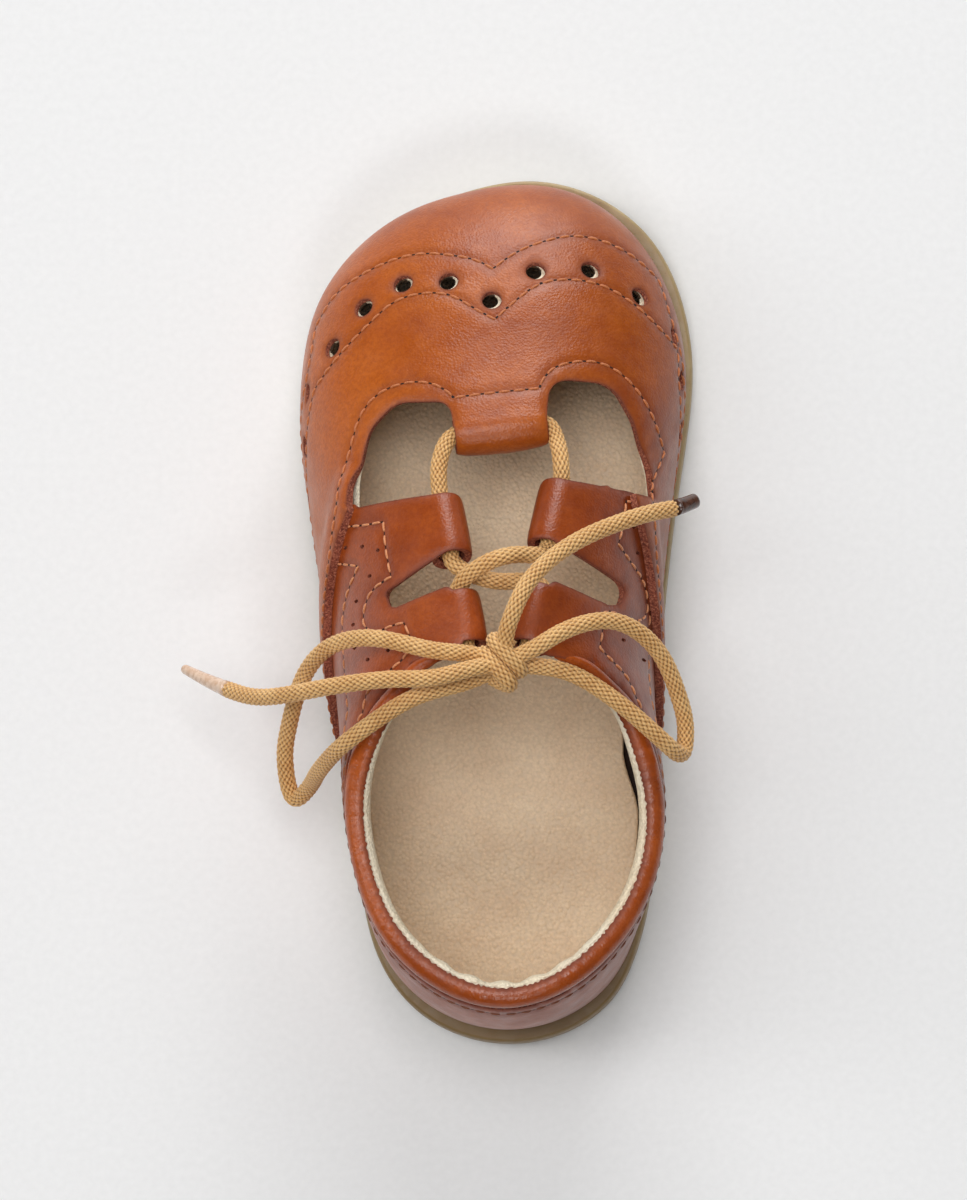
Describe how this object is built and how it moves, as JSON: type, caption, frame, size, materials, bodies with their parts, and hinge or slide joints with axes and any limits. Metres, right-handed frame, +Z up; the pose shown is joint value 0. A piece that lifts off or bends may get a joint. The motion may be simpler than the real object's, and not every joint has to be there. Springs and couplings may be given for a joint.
{
  "type": "brogue shoe",
  "caption": "Left children's T-bar brogue: leather upper with cut-out straps and folded lace tunnels, a padded collar and a flat rubber sole, worn on the foot.",
  "frame": {"origin": "on the floor, under the middle of the shoe's length and width", "axes": "+Y from heel to toe, +X to the inner side of the foot, +Z up from the floor"},
  "size_m": [0.0839, 0.14, 0.0562],
  "materials": {
    "cognac_leather": "smooth cognac calf, waxed, semi-gloss",
    "collar_leather": "soft cognac leather, padded, semi-gloss",
    "sock_leather": "fine-grained taupe lining leather, matt",
    "sole_rubber": "honey-coloured crepe-look rubber, satin",
    "braided_lace": "round golden-tan braid, lightly waxed",
    "clear_aglet": "clear wrap over the braid",
    "brown_aglet": "dark brown wrap"
  },
  "bodies": {
    "root": {"outsole": "sole_rubber", "insole": "sock_leather", "upper": "cognac_leather", "collar": "collar_leather", "lace": "braided_lace", "lace_knot": "braided_lace", "lace_bow_left": "braided_lace", "lace_bow_right": "braided_lace", "lace_end_left": "braided_lace", "lace_end_right": "braided_lace", "aglet_left": "clear_aglet", "aglet_right": "brown_aglet"}
  },
  "joints": []
}
